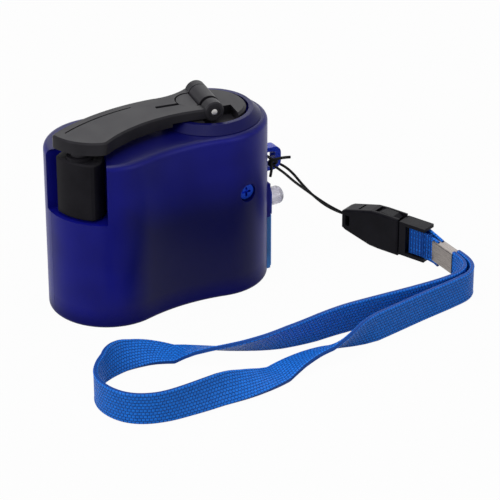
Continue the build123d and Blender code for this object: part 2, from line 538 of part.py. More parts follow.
def make_buckle():
    high = BUCKLE_HALF
    lower_edge = [(0, -2.5), (1.2, -3.2), (9.5, -high + 0.2), (12.5, -high), (SOCKET_LEN, -high)]
    upper_edge = [(s, -h) for s, h in reversed(lower_edge)]
    socket = side_profile(lower_edge + upper_edge, BUCKLE_T)
    broad = socket.faces().sort_by(Axis(buckle.origin, buckle.y_dir))
    socket = fillet(broad[0].edges() + broad[-1].edges(), 0.6)
    socket -= buckle_block(5.0, SOCKET_LEN + 1, -1.7, 1.7, -high + 1.2, high - 1.2)
    for side in (-1, 1):
        window = sorted((side * (high - 1.6), side * (high + 1)))
        socket -= buckle_block(10.7, SOCKET_LEN + 1, -1.7, 1.7, *window)
    socket -= buckle_block(1.4, 2.8, -4, 4, -1.6, 1.6)
    parts["buckle_socket"] = socket

    insert = buckle_block(SOCKET_LEN + 0.3, 21.4, -2.3, 2.3, -high + 0.5, high - 0.5)
    for side in (-1, 1):
        rail = sorted((side * (high - 1.5), side * (high - 0.5)))
        insert += buckle_block(21.3, INSERT_END, -2.3, 2.3, *rail)
        insert += side_profile([(s, side * h) for s, h in PRONG], 3.0)
    insert += buckle_block(22.6, 23.8, -0.9, 0.9, -high + 1.0, high - 1.0)
    insert += buckle_block(12.5, SOCKET_LEN + 0.4, -1.3, 1.3, -0.8, 0.8)
    parts["buckle_insert"] = insert


def make_strap_end():
    """Webbing folded round the insert's bar and pinched in the crimp."""
    def at(s, t):
        spot = buckle.origin + buckle.x_dir * s + buckle.y_dir * t
        return (spot.X, spot.Y)

    near, far = at(26.6, -1.9), at(26.6, 1.9)
    outer = [at(24.0, -1.9), at(22.5, -1.9), at(21.7, -1.2), at(21.7, 1.2), at(22.5, 1.9), at(24.0, 1.9), far,
             (CRIMP_X + 1.25, CRIMP_START_Y - 0.1), (CRIMP_X + 1.25, CRIMP_START_Y - 2.2),
             (CRIMP_X - 1.25, CRIMP_START_Y - 2.2), (CRIMP_X - 1.25, CRIMP_START_Y - 0.1), near]
    inner = [at(24.4, -0.98), at(22.5, -0.98), at(22.5, 0.98), at(24.4, 0.98), at(27.0, 0.4), at(27.0, -0.4)]
    fold = make_face(Polyline(*outer, close=True)) - make_face(Polyline(*inner, close=True))
    parts["strap_fold"] = raised(fold, BUCKLE_Z - 3.9, BUCKLE_Z + 3.9) \
        - block(60, 80, CRIMP_START_Y - 3, CRIMP_START_Y, CRIMP_Z + CRIMP_H / 2 - 0.4, 12) \
        - block(60, 80, CRIMP_START_Y - 3, CRIMP_START_Y, -1, CRIMP_Z - CRIMP_H / 2 + 0.4)
    half_t, half_h = CRIMP_T / 2, CRIMP_H / 2
    crimp = block(CRIMP_X - half_t, CRIMP_X + half_t, CRIMP_END_Y, CRIMP_START_Y, CRIMP_Z - half_h, CRIMP_Z + half_h)
    crimp = fillet(crimp.edges().filter_by(Axis.Y), 0.4)
    crimp -= block(CRIMP_X - 1.25, CRIMP_X + 1.25, CRIMP_START_Y - 2.2, CRIMP_START_Y + 1,
                   CRIMP_Z - half_h + 0.4, CRIMP_Z + half_h - 0.4)
    parts["strap_crimp"] = crimp - parts["strap_fold"]


def smooth_route(points, name):
    """Straight runs joined by tangent arcs, each as large as its two runs allow."""
    radii = []
    for before, here, after in zip(points, points[1:], points[2:]):
        turn = (Vector(*here) - Vector(*before)).get_angle(Vector(*after) - Vector(*here))
        short = min((Vector(*here) - Vector(*before)).length, (Vector(*after) - Vector(*here)).length)
        radii.append(0.45 * short / tan(radians(turn) / 2))
    print(name, "radii", [round(r, 1) for r in radii])
    return FilletPolyline(*points, radius=radii)


STRAP_ROUTE = [
    (70.1, CRIMP_END_Y), (70.1, -42.4), (66.6, -46.3), (60.0, -47.6), (46.0, -47.7), (30.0, -47.8), (16.0, -47.0),
    (3.0, -43.6), (-7.0, -38.6), (-18.0, -35.4), (-29.0, -36.2), (-38.0, -40.2), (-42.6, -47.0), (-40.4, -55.0),
    (-32.0, -60.6), (-19.0, -61.9), (-4.0, -60.3), (10.0, -57.2), (24.0, -53.4), (36.0, -52.6), (48.0, -50.9),
    (60.0, -49.7), (67.6, -48.6), (71.6, -43.6), (71.6, CRIMP_END_Y),
]
CORD_ROUTE = [
    (33.6, -2.7, 30.8), (34.3, -0.4, 30.2), (35.0, 2.6, 29.2), (38.2, 3.0, 27.0), (42.6, 2.0, 22.8), (47.4, 1.3, 16.6),
    (52.6, 0.9, 11.0), (57.2, 0.3, 7.0), (60.9, -1.0, 5.9),
]
CORD_RETURN = [
    (34.6, -2.7, 29.0), (37.6, -2.6, 27.2), (41.6, -1.6, 22.4), (46.4, -0.7, 16.0), (51.8, -0.5, 9.6), (56.4, -0.9, 5.9),
    (59.8, -1.7, 5.2),
]


def make_strap():
    route = smooth_route([(x, y, STRAP_Z) for x, y in STRAP_ROUTE], "strap")
    section = Plane(origin=route @ 0, z_dir=route % 0, x_dir=(0, 0, 1)) * Rectangle(STRAP_W, STRAP_T)
    strap = sweep(section, route)
    ratio = strap.volume / (route.length * STRAP_W * STRAP_T)
    print("strap length", round(route.length, 1), "volume ratio", round(ratio, 4))
    parts["wrist_strap"] = strap


def make_cord():
    knot_at = Vector(33.7, -3.0, 29.9)
    knot = Pos(*knot_at) * Rot(90, 0, 0) * Cylinder(1.15, 2.0)
    knot = chamfer(knot.edges(), 0.4)
    for end in ((38.4, -5.0, 31.0), (32.4, -4.1, 26.2)):
        reach = Vector(*end) - knot_at
        knot += Plane(origin=knot_at, z_dir=reach) * extrude(RegularPolygon(CORD_R * 1.05, 8), reach.length)
    for name, points in (("lanyard_cord", CORD_ROUTE), ("lanyard_return", CORD_RETURN)):
        route = smooth_route(points, name)
        end = Plane(origin=route @ 0, z_dir=route % 0)
        strand = sweep(end * RegularPolygon(CORD_R * 1.053, 8), route)
        ratio = strand.volume / (route.length * pi * CORD_R**2)
        print(name, "length", round(route.length, 1), "volume ratio", round(ratio, 4))
        channel = sweep(end * Circle(CORD_R + 0.1), route)
        parts["buckle_socket"] -= channel
        knot -= strand
        parts[name] = strand
    parts["cord_knot"] = knot


make_buckle()
make_strap_end()
make_strap()
make_cord()

os.makedirs("parts", exist_ok=True)
for name, solid in parts.items():
    export_step(solid, f"parts/{name}.step")
print(len(parts), "nodes")
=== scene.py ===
"""Looks of the hand crank phone charger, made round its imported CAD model. Lengths are in metres."""
import json
import math

import bmesh
import bpy
from mathutils import Matrix, Vector


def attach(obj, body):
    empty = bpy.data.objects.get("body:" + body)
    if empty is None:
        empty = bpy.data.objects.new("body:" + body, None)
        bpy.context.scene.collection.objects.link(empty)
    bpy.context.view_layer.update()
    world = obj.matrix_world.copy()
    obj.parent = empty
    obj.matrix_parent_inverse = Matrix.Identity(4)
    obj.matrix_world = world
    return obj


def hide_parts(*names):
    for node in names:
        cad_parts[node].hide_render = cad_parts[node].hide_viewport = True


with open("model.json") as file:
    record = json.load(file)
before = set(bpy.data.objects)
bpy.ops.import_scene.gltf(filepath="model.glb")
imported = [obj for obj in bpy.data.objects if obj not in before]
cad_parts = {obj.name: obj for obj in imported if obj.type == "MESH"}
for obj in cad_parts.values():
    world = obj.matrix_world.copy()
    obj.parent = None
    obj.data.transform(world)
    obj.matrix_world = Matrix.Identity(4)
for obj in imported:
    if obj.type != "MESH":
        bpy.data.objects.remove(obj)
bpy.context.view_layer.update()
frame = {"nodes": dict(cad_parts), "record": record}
nodes = frame["nodes"]
scene = bpy.context.scene
MM = 0.001


def mm(*values):
    """A point written in millimetres."""
    return Vector(values) * MM


# ---------------------------------------------------------------- camera
CAMERA_AT = mm(-298.6, -541.2, 339.1)
LOOKS_AT = mm(21.0, -12.7, 10.8)
camera = bpy.data.objects.new("camera", bpy.data.cameras.new("camera"))
scene.collection.objects.link(camera)
camera.location = CAMERA_AT
camera.rotation_euler = (LOOKS_AT - CAMERA_AT).to_track_quat("-Z", "Y").to_euler()
camera.data.sensor_width = 36.0
camera.data.lens = 187.2
camera.data.clip_start, camera.data.clip_end = 0.05, 20.0
scene.camera = camera


# ---------------------------------------------------------------- lines that the cords follow
def nurbs_curve(name, points, steps=10):
    """A smooth open NURBS curve with these control points."""
    data = bpy.data.curves.new(name, "CURVE")
    data.dimensions = "3D"
    spline = data.splines.new("NURBS")
    spline.points.add(len(points) - 1)
    for point, spot in zip(spline.points, points):
        point.co = (*spot, 1.0)
    spline.order_u = 3
    spline.use_endpoint_u = True
    data.resolution_u = steps
    return data


def spline_line(points, steps):
    """The points along the smooth curve with these control points."""
    holder = bpy.data.objects.new("line", nurbs_curve("line", points, steps))
    scene.collection.objects.link(holder)
    bpy.context.view_layer.update()
    mesh = bpy.data.meshes.new_from_object(holder)
    line = [v.co.copy() for v in mesh.vertices]
    bpy.data.objects.remove(holder)
    bpy.data.meshes.remove(mesh)
    return line


def lengths_along(line):
    """The length along the line at each of its points."""
    total = [0.0]
    for a, b in zip(line, line[1:]):
        total.append(total[-1] + (b - a).length)
    return total


def blend_keys(keys, value):
    """Straight interpolation between (value, result) pairs."""
    for (a, low), (b, high) in zip(keys, keys[1:]):
        if value <= b:
            t = max(0.0, min(1.0, (value - a) / (b - a)))
            return low + (high - low) * t
    return keys[-1][1]


def new_piece(name, mesh, body, material):
    """A mesh as a piece of its own that rides on a body."""
    piece = bpy.data.objects.new(name, mesh)
    scene.collection.objects.link(piece)
    mesh.materials.clear()
    mesh.materials.append(material)
    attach(piece, body)
    return piece


# ---------------------------------------------------------------- materials
def linear(code):
    """An sRGB hex colour as the linear numbers that a shader takes."""
    parts = [int(code[i:i + 2], 16) / 255 for i in (1, 3, 5)]
    return [c / 12.92 if c <= 0.04045 else ((c + 0.055) / 1.055) ** 2.4 for c in parts] + [1.0]


def add(tree, kind, inputs=None, **settings):
    """Adds a node to the tree, with its settings, and sets or links its inputs."""
    made = tree.nodes.new(kind)
    for key, value in settings.items():
        setattr(made, key, value)
    for key, value in (inputs or {}).items():
        socket = made.inputs[key]
        if isinstance(value, bpy.types.NodeSocket):
            tree.links.new(value, socket)
        else:
            socket.default_value = value
    return made


def start_material(name):
    material = bpy.data.materials.new(name)
    material.use_nodes = True
    material.node_tree.nodes.clear()
    return material, material.node_tree


# the middle of a noise's range, in which nearly all of its values lie
NOISE_LOW, NOISE_HIGH = 0.35, 0.65


def grain(tree, feature_mm, detail=3.0, stretch=(1, 1, 1)):
    """Noise on the object's own coordinates, with features of this size in millimetres."""
    where = add(tree, "ShaderNodeTexCoord")
    scaled = add(tree, "ShaderNodeMapping", {"Vector": where.outputs["Object"], "Scale": stretch})
    return add(tree, "ShaderNodeTexNoise", {"Vector": scaled.outputs[0], "Scale": 1 / (feature_mm * MM),
                                            "Detail": detail, "Roughness": 0.6})


def two_tone(tree, noise, dark, light):
    """A colour that wanders between two close shades with the noise."""
    amount = add(tree, "ShaderNodeMapRange", {"Value": noise.outputs["Fac"], "From Min": NOISE_LOW,
                                              "From Max": NOISE_HIGH, "To Min": 0.0, "To Max": 1.0})
    return add(tree, "ShaderNodeMix", {"Factor": amount.outputs[0], 6: linear(dark), 7: linear(light)},
               data_type="RGBA").outputs[2]


def finish_material(tree, colour, noise, rough, inputs, relief=None):
    """Closes a material with one principled shader.

    The roughness wanders between two values with the noise; relief is a noise and how many mm it raises.
    """
    wear = add(tree, "ShaderNodeMapRange", {"Value": noise.outputs["Fac"], "From Min": NOISE_LOW,
                                            "From Max": NOISE_HIGH, "To Min": rough[0], "To Max": rough[1]})
    inputs = {"Base Color": colour, "Roughness": wear.outputs[0], **inputs}
    if relief:
        bump = add(tree, "ShaderNodeBump", {"Height": relief[0].outputs["Fac"], "Strength": 1.0,
                                            "Distance": relief[1] * MM})
        inputs["Normal"] = bump.outputs[0]
    shader = add(tree, "ShaderNodeBsdfPrincipled", inputs)
    add(tree, "ShaderNodeOutputMaterial", {"Surface": shader.outputs[0]})


# where the shell is the frame of the socket panel, in mm: beyond this x and below this z
RIM_X, RIM_Z = 28.6, 16.7


def blue_shell():
    """Translucent polycarbonate from a spark-eroded mould: deep blue, satin, with painted shade over the middle where
    the works sit inside and painted light at its ends and top edge.
    """
    material, tree = start_material("translucent blue polycarbonate")
    fine, broad = grain(tree, 0.45, 1.0), grain(tree, 14.0, 1.0)
    where = add(tree, "ShaderNodeTexCoord")
    axes = add(tree, "ShaderNodeSeparateXYZ", {"Vector": where.outputs["Object"]})
    x, z = axes.outputs["X"], axes.outputs["Z"]
    # the thick floor lets less light through than the thin wall above it
    clear = add(tree, "ShaderNodeMapRange", {"Value": z, "From Min": 1.5 * MM, "From Max": 6.0 * MM,
                                             "To Min": 0.04, "To Max": 0.5})
    # the rim round the socket panel is the panel's own pale blue
    outer = add(tree, "ShaderNodeMath", {0: x, 1: RIM_X * MM}, operation="GREATER_THAN")
    lower = add(tree, "ShaderNodeMath", {0: z, 1: RIM_Z * MM}, operation="LESS_THAN")
    rim = add(tree, "ShaderNodeMath", {0: outer.outputs[0], 1: lower.outputs[0]}, operation="MULTIPLY")
    # painted light and shade: the middle of the case is painted dark, standing in for the shade of the works inside;
    # the ends and the top edge are painted lighter, and the deck (under the crank arm's shadow) and the thick bottom
    # edge are painted dark again; each fade runs between two places
    painted_light_top, painted_light_left, painted_light_right, below_painted_deck_shadow, above_painted_bottom_shade = (
        add(tree, "ShaderNodeMapRange", {"Value": along, "From Min": start * MM, "From Max": end * MM},
            interpolation_type="SMOOTHSTEP").outputs[0]
        for along, start, end in ((z, 24, 38), (x, -9, -22), (x, 19, 28), (z, 47.4, 46.2), (z, 1, 7)))
    ends = add(tree, "ShaderNodeMath", {0: painted_light_left, 1: painted_light_right}, operation="MAXIMUM")
    lit = add(tree, "ShaderNodeMath", {0: ends.outputs[0], 1: painted_light_top}, operation="MAXIMUM")
    edges = add(tree, "ShaderNodeMath", {0: below_painted_deck_shadow, 1: above_painted_bottom_shade}, operation="MULTIPLY")
    painted_light_mask = add(tree, "ShaderNodeMath", {0: lit.outputs[0], 1: edges.outputs[0]}, operation="MULTIPLY")
    # body: the shell's own two-tone blue where the painted light mask is 1, fading to the painted shade colour
    # #0d0e58 where it is 0
    body = add(tree, "ShaderNodeMix", {"Factor": painted_light_mask.outputs[0], 6: linear("#0d0e58"),
                                       7: two_tone(tree, broad, "#121488", "#171a98")}, data_type="RGBA")
    colour = add(tree, "ShaderNodeMix", {"Factor": rim.outputs[0], 6: body.outputs[2], 7: linear("#4c8ad0")},
                 data_type="RGBA")
    finish_material(tree, colour.outputs[2], fine, (0.30, 0.36),
                    {"IOR": 1.3, "Specular IOR Level": 0.1, "Transmission Weight": clear.outputs[0]}, (fine, 0.0015))
    return material


def blue_eyelet():
    """The same plastic as the shell but thicker in the light: a purer blue with a wet edge."""
    material, tree = start_material("bright blue polycarbonate")
    fine = grain(tree, 0.4)
    finish_material(tree, two_tone(tree, fine, "#142eaa", "#1836c0"), fine, (0.2, 0.3),
                    {"IOR": 1.5, "Specular IOR Level": 0.15, "Transmission Weight": 0.25}, (fine, 0.003))
    return material


def moulded(name, dark, light, rough, grain_mm, depth_mm, specular=0.5):
    """Injection moulded plastic with an even fine grain; the patches between are a shade smoother, as if handled."""
    material, tree = start_material(name)
    fine, worn = grain(tree, grain_mm), grain(tree, 6.0, 2.0)
    finish_material(tree, two_tone(tree, worn, dark, light), worn, (rough - 0.05, rough + 0.05),
                    {"IOR": 1.5, "Specular IOR Level": specular}, (fine, depth_mm))
    return material


def bare_metal(name, dark, light, rough, stretch, feature_mm=0.3, depth_mm=0.003):
    """Worked metal: fine lines along the way that it was turned, drawn or rolled."""
    material, tree = start_material(name)
    lines = grain(tree, feature_mm, 4.0, stretch)
    finish_material(tree, two_tone(tree, lines, dark, light), lines, (rough - 0.06, rough + 0.06),
                    {"Metallic": 1.0}, (lines, depth_mm))
    return material


def copper_winding():
    """Enamelled 0.25 mm wire laid side by side: rings of light 0.5 mm apart, drawn that coarse so that they show."""
    material, tree = start_material("enamelled copper winding")
    where = add(tree, "ShaderNodeTexCoord")
    turns = add(tree, "ShaderNodeTexWave", {"Vector": where.outputs["Object"], "Distortion": 0.3,
                                            "Scale": 2 * math.pi / (20 * 0.5 * MM)}, bands_direction="Z")
    rings = add(tree, "ShaderNodeBump", {"Height": turns.outputs["Fac"], "Strength": 0.8, "Distance": 0.05 * MM})
    shader = add(tree, "ShaderNodeBsdfPrincipled", {"Base Color": linear("#a4532a"), "Metallic": 1.0,
                                                    "Roughness": 0.32, "Normal": rings.outputs[0]})
    add(tree, "ShaderNodeOutputMaterial", {"Surface": shader.outputs[0]})
    return material


def clear_lamp():
    """Cast epoxy with a little diffuser in it: pale, a touch violet, darker where the wall is seen edge-on."""
    material, tree = start_material("diffused clear epoxy")
    cloud = grain(tree, 1.2, 2.0)
    finish_material(tree, two_tone(tree, cloud, "#d8d5e2", "#e8e6f0"), cloud, (0.16, 0.24),
                    {"IOR": 1.5, "Transmission Weight": 0.45})
    return material


def braided_cord():
    """Thin black polyester cord: matt, with tiny flecks of light between the plaits."""
    material, tree = start_material("black braided polyester cord")
    plait = grain(tree, 0.35, 2.0)
    finish_material(tree, two_tone(tree, plait, "#050507", "#0c0c0e"), plait, (0.6, 0.8),
                    {"Specular IOR Level": 0.15}, (plait, 0.04))
    return material


def woven_webbing():
    """Flat woven polypropylene, glossy yarn over and under: cells near 1 mm, with painted shade in the dips where the
    yarns cross.
    """
    material, tree = start_material("woven blue polypropylene webbing")
    where = add(tree, "ShaderNodeUVMap", uv_map="weave")
    # the dark mortar colour is painted shade in the dips between the cells; the two cell colours are the yarn's own
    # shades
    cells = add(tree, "ShaderNodeTexBrick", {
        "Vector": where.outputs["UV"], "Color1": linear("#1a72da"), "Color2": linear("#1768ca"),
        "Mortar": linear("#0c3c86"), "Scale": 1.0, "Mortar Size": 0.13, "Mortar Smooth": 1.0, "Bias": 0.0,
        "Brick Width": 0.95, "Row Height": 0.84}, offset=0.5)
    fibre = add(tree, "ShaderNodeTexNoise", {"Vector": where.outputs["UV"], "Scale": 7.0, "Detail": 2.0})
    cells_up = add(tree, "ShaderNodeBump", {"Height": cells.outputs["Fac"], "Strength": 1.0,
                                            "Distance": 0.16 * MM}, invert=True)
    yarns = add(tree, "ShaderNodeBump", {"Height": fibre.outputs["Fac"], "Strength": 0.5, "Distance": 0.05 * MM,
                                         "Normal": cells_up.outputs[0]})
    finish_material(tree, cells.outputs["Color"], fibre, (0.42, 0.56),
                    {"Specular IOR Level": 0.15, "Normal": yarns.outputs[0]})
    return material


crank_black = moulded("black ABS, satin moulded", "#1f1e22", "#252428", 0.36, 0.3, 0.003, 0.11)
knob_black = moulded("black polypropylene, smooth moulded", "#141317", "#19181c", 0.42, 0.5, 0.003, 0.05)
buckle_black = moulded("black acetal, satin moulded", "#0f0e13", "#151419", 0.38, 0.35, 0.004, 0.06)
socket_black = moulded("black glass-filled nylon", "#0e0e10", "#151517", 0.5, 0.25, 0.005)
panel_navy = moulded("navy ABS, satin moulded", "#122a86", "#163094", 0.35, 0.3, 0.003, 0.15)
panel_sky = moulded("sky blue ABS, satin moulded", "#4c8ad0", "#5694d8", 0.4, 0.3, 0.003, 0.05)
gear_white = moulded("natural acetal", "#d3d1c6", "#dedccf", 0.42, 0.6, 0.003)
magnet_grey = moulded("sintered ferrite", "#27272a", "#323235", 0.62, 0.2, 0.01)
board_green = moulded("green solder mask over copper", "#12402a", "#1a5236", 0.35, 0.8, 0.004)
sleeve_black = moulded("shrunk black sleeve", "#111114", "#1b1b1e", 0.28, 0.9, 0.004)
pin_steel = bare_metal("turned steel", "#b8b6b4", "#cfcdca", 0.24, (0.15, 0.15, 1))
sheet_steel = bare_metal("zinc plated sheet steel", "#8f8d8b", "#a3a19e", 0.36, (0.2, 1, 1), 0.5)
# the screw's strong blue: a faint real blue passivated tint, deepened into a painted blue glint that stands in for
# the shell's blue light round it
screw_zinc_painted_glint = bare_metal("blue zinc with painted blue glint", "#1a3a9c", "#2448b4", 0.34, (1, 1, 1), 0.3)
crimp_steel = bare_metal("folded nickel plated steel", "#77716e", "#8f8884", 0.3, (1, 0.12, 1), 0.25)
core_iron = bare_metal("stacked silicon steel", "#5c5a58", "#777472", 0.5, (0.05, 0.05, 1), 0.35, 0.01)
gear_brass = bare_metal("turned brass", "#bf9a4c", "#d2ad5e", 0.3, (0.2, 0.2, 1))
bush_bronze = bare_metal("sintered bronze", "#8d6a3c", "#a27c4a", 0.5, (1, 1, 1), 0.15, 0.006)
gold_plate = bare_metal("gold plated contact", "#c9a243", "#dab658", 0.22, (0.1, 1, 1), 0.2)
cord_black, webbing_blue, clear_lens = braided_cord(), woven_webbing(), clear_lamp()

FINISH = {
    "blue_shell": blue_shell(), "blue_eyelet": blue_eyelet(), "navy_panel": panel_navy, "sky_panel": panel_sky,
    "black_plastic": crank_black, "knob_plastic": knob_black, "bright_steel": pin_steel, "socket_steel": sheet_steel,
    "plate_steel": sheet_steel, "screw_steel": screw_zinc_painted_glint, "gear_white": gear_white, "gear_brass": gear_brass,
    "bush_bronze": bush_bronze, "magnet_grey": magnet_grey, "core_iron": core_iron, "copper_wire": copper_winding(),
    "board_green": board_green, "sleeve_black": sleeve_black, "socket_insert": socket_black, "clear_lens": clear_lens,
    "cord_black": cord_black, "webbing_blue": webbing_blue, "crimp_steel": crimp_steel,
}
for subpart in frame["record"]["subparts"]:
    mesh = nodes[subpart["node"]].data
    mesh.materials.clear()
    name = subpart["node"]
    mesh.materials.append(buckle_black if name.startswith("buckle_") else FINISH[subpart["material_slot"]])


# ---------------------------------------------------------------- small forms that repeat
def row_of(name, shape, material, count, first, step):
    """A row of copies of a small mesh, laid out by Geometry Nodes and returned as one plain mesh."""
    tree = bpy.data.node_groups.new(name + " row", "GeometryNodeTree")
    face = tree.interface
    for label, kind in (("Shape", "Geometry"), ("Count", "Int"), ("First", "Vector"), ("Step", "Vector")):
        face.new_socket(label, in_out="INPUT", socket_type="NodeSocket" + kind)
    face.new_socket("Row", in_out="OUTPUT", socket_type="NodeSocketGeometry")
    given = add(tree, "NodeGroupInput")
    line = add(tree, "GeometryNodeMeshLine", {"Count": given.outputs["Count"],
                                              "Start Location": given.outputs["First"],
                                              "Offset": given.outputs["Step"]}, mode="OFFSET")
    placed = add(tree, "GeometryNodeInstanceOnPoints", {"Points": line.outputs["Mesh"],
                                                        "Instance": given.outputs["Shape"]})
    solid = add(tree, "GeometryNodeRealizeInstances", {"Geometry": placed.outputs["Instances"]})
    done = add(tree, "GeometryNodeSetMaterial", {"Geometry": solid.outputs["Geometry"], "Material": material})
    add(tree, "NodeGroupOutput", {"Row": done.outputs["Geometry"]})
    holder = bpy.data.objects.new(name + " maker", shape)
    scene.collection.objects.link(holder)
    modifier = holder.modifiers.new("row", "NODES")
    modifier.node_group = tree
    sockets = {item.name: item.identifier for item in face.items_tree if item.in_out == "INPUT"}
    modifier[sockets["Count"]] = count
    modifier[sockets["First"]] = tuple(first)
    modifier[sockets["Step"]] = tuple(step)
    bpy.context.view_layer.update()
    made = bpy.data.meshes.new_from_object(holder.evaluated_get(bpy.context.evaluated_depsgraph_get()))
    made.name = name
    bpy.data.objects.remove(holder)
    return made


def turned(name, profile, place, steps=40):
    """A closed form turned about its own Z axis through (radius, height) points in mm, then put in place."""
    mesh = bpy.data.meshes.new(name)
    form = bmesh.new()
    turns = [2 * math.pi * k / steps for k in range(steps)]
    rings = []
    for radius, height in profile:
        angles = turns[:1] if radius == 0 else turns
        rings.append([form.verts.new(mm(radius * math.cos(a), radius * math.sin(a), height)) for a in angles])
    for low, high in zip(rings, rings[1:]):
        for k in range(steps):
            n = (k + 1) % steps
            corners = [low[k % len(low)], low[n % len(low)], high[n % len(high)], high[k % len(high)]]
            corners = [v for i, v in enumerate(corners) if v not in corners[:i]]
            form.faces.new(corners).smooth = True
    bmesh.ops.transform(form, matrix=place, verts=form.verts)
    bmesh.ops.recalc_face_normals(form, faces=form.faces)
    form.to_mesh(mesh)
    form.free()
    mesh.set_sharp_from_angle(angle=math.radians(40))
    return mesh


def soft_bar(name, size, rounding, segments=2):
    """A bar with rounded edges, centred at the origin; sizes in mm."""
    mesh = bpy.data.meshes.new(name)
    form = bmesh.new()
    bmesh.ops.create_cube(form, size=1.0)
    bmesh.ops.scale(form, vec=mm(*size), verts=form.verts)
    bmesh.ops.bevel(form, geom=form.edges[:], offset=rounding * MM, segments=segments, affect="EDGES", profile=0.5)
    for face in form.faces:
        face.smooth = True
    form.to_mesh(mesh)
    form.free()
    return mesh


def joined(name, meshes):
    """Several meshes as one."""
    mesh = bpy.data.meshes.new(name)
    form = bmesh.new()
    for part in meshes:
        form.from_mesh(part)
    form.to_mesh(mesh)
    form.free()
    return mesh


# ---------------------------------------------------------------- lamps
LAMP_X, LAMP_Y, LAMP_Z = 25.6, 4.0, 20.2  # the foot of each lamp, in mm, one on either side of the middle


def make_lamps():
    """Clear 5 mm lamps with a flange and a blunt dome, and the two posts and the cup inside each."""
    radius, corner, flange, flange_height, height = 2.5, 1.5, 0.35, 1.0, 10.5
    bend = height - corner
    dome = [(radius - corner + corner * math.cos(math.radians(a)), bend + corner * math.sin(math.radians(a)))
            for a in range(0, 91, 10)]
    foot = [(0, 0), (radius + flange, 0), (radius + flange, 0.9), (radius + 0.25, flange_height)]
    profile = foot + [(radius, flange_height)] + dome + [(0, height)]
    along_x = Matrix.Rotation(math.radians(90), 4, "Y")
    bodies, posts = [], []
    for side in (-1, 1):
        root = Matrix.Translation(mm(LAMP_X, side * LAMP_Y, LAMP_Z)) @ along_x
        bodies.append(turned("lamp", profile, root))
        for shift, top in ((-0.65, 5.2), (0.65, 6.4)):
            post = [(0, 0.3), (0.22, 0.3), (0.22, top), (0, top)]
            posts.append(turned("post", post, root @ Matrix.Translation(mm(0, shift, 0)), 10))
        cup = [(0, 5.0), (0.5, 5.0), (0.85, 5.9), (0.7, 5.9), (0.4, 5.3), (0, 5.3)]
        posts.append(turned("cup", cup, root @ Matrix.Translation(mm(0, -0.45, 0)), 20))
    lamps = new_piece("lamp_lenses", joined("lamp_lenses", bodies), "housing", clear_lens)
    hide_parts("lamps")
    new_piece("lamp_posts", joined("lamp_posts", posts), "housing", pin_steel)


def make_contacts():
    """Four gold strips on the socket's tongue, standing upright one above another."""
    strip = soft_bar("strip", (7.4, 0.18, 1.1), 0.07, 1)
    made = row_of("socket_contacts", strip, gold_plate, 4, mm(25.2, 0.1, 5.1), mm(0, 0, 2.4))
    new_piece("socket_contacts", made, "housing", gold_plate)


def make_solder_joints():
    """Two lines of solder joints under the board, at a 2.54 mm pitch."""
    pitch, under_board = 2.54, 16.02
    cone = [(0, 0), (0.75, 0), (0.6, -0.25), (0.3, -0.6), (0.2, -0.9), (0, -0.9)]
    joint = turned("joint", cone, Matrix.Identity(4), 10)
    rows = [row_of("solder", joint, pin_steel, 9, mm(-9.5, y, under_board), mm(pitch, 0, 0)) for y in (-8.6, 8.6)]
    new_piece("solder_joints", joined("solder_joints", rows), "housing", pin_steel)


make_lamps()
make_contacts()
make_solder_joints()


# ---------------------------------------------------------------- lanyard cords and their knot
CORD_DIAMETER = 0.75 * MM
KNOT_DIAMETER = 0.8 * MM  # a little thicker than the strands
CORD_ROUTE = [
    (33.6, -2.7, 30.8), (34.3, -0.4, 30.2), (35.0, 2.6, 29.4), (38.4, 3.0, 26.4), (42.6, 2.0, 23.4),
    (47.2, 1.2, 16.7), (52.4, 0.8, 10.9), (57.0, 0.2, 7.3), (60.9, -1.0, 5.4),
]
CORD_RETURN = [
    (34.6, -2.7, 28.4), (37.6, -2.6, 25.8), (41.6, -1.6, 21.5), (46.4, -0.7, 17.0), (51.8, -0.5, 12.0),
    (56.4, -0.9, 8.3), (59.8, -1.7, 6.1),
]
# an overhand knot in front of the eyelet: one tail out to the right, one hanging down
KNOT_ROUTE = [
    (38.4, -5.0, 31.0), (36.6, -4.6, 31.2), (34.4, -4.3, 31.1), (32.9, -3.5, 30.9), (32.7, -3.1, 29.5),
    (33.7, -2.3, 28.7), (34.8, -3.2, 29.2), (34.7, -4.3, 30.4), (33.5, -3.9, 30.9), (32.8, -3.9, 29.8),
    (33.1, -4.2, 28.4), (32.6, -4.1, 26.2),
]


def round_cord(name, points, diameter):
    """A round cord along a smooth spline, as a curve of one open run."""
    data = nurbs_curve(name, [mm(*spot) for spot in points])
    data.bevel_depth = diameter / 2
    data.bevel_resolution = 3
    data.use_fill_caps = True
    data.materials.append(cord_black)
    piece = bpy.data.objects.new(name, data)
    scene.collection.objects.link(piece)
    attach(piece, "housing")
    return piece


knot = round_cord("knotted_ends", KNOT_ROUTE, KNOT_DIAMETER)
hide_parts("cord_knot")
front_strand = round_cord("lanyard_strand", CORD_ROUTE, CORD_DIAMETER)
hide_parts("lanyard_cord")
back_strand = round_cord("lanyard_strand_back", CORD_RETURN, CORD_DIAMETER)
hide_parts("lanyard_return")


